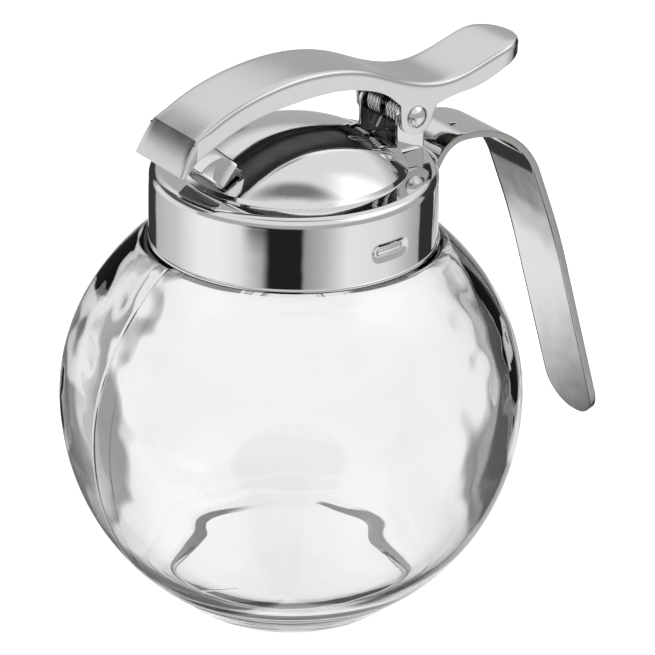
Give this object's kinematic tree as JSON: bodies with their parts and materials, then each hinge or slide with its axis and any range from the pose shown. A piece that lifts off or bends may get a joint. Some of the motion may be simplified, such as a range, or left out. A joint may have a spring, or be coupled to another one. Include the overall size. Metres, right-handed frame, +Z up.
{
  "type": "honey dispenser",
  "caption": "Empty round glass honey jar with a polished steel cap, rising spout, sprung lever and strap handle.",
  "frame": {"origin": "centre of the jar's foot, on the surface it stands on", "axes": "+Z up along the jar's axis, -X towards the spout, +X towards the handle"},
  "size_m": [0.1283, 0.0978, 0.1186],
  "materials": {
    "glass": "clear moulded glass with slightly wavy walls",
    "polished_steel": "mirror polished stainless steel",
    "satin_steel": "softly polished stainless steel with a faint grain",
    "spring_wire": "drawn spring wire"
  },
  "bodies": {
    "jar_and_cap": {"glass_jar": "glass", "cap": "polished_steel", "spout": "polished_steel", "hinge_bracket": "polished_steel", "rivet_pin": "polished_steel", "torsion_spring": "spring_wire", "handle_strap": "satin_steel"},
    "lever": {"lever": "satin_steel"}
  },
  "joints": [
    {"name": "lever_hinge", "type": "hinge", "parent": "jar_and_cap", "child": "lever", "pos_m": [0.0252, 0, 0.1041], "axis": [0, 1, 0], "range_deg": [0, 25], "stiffness_Nm_per_rad": 0.25, "springref_deg": -20.05, "deforming": ["torsion_spring"]}
  ]
}
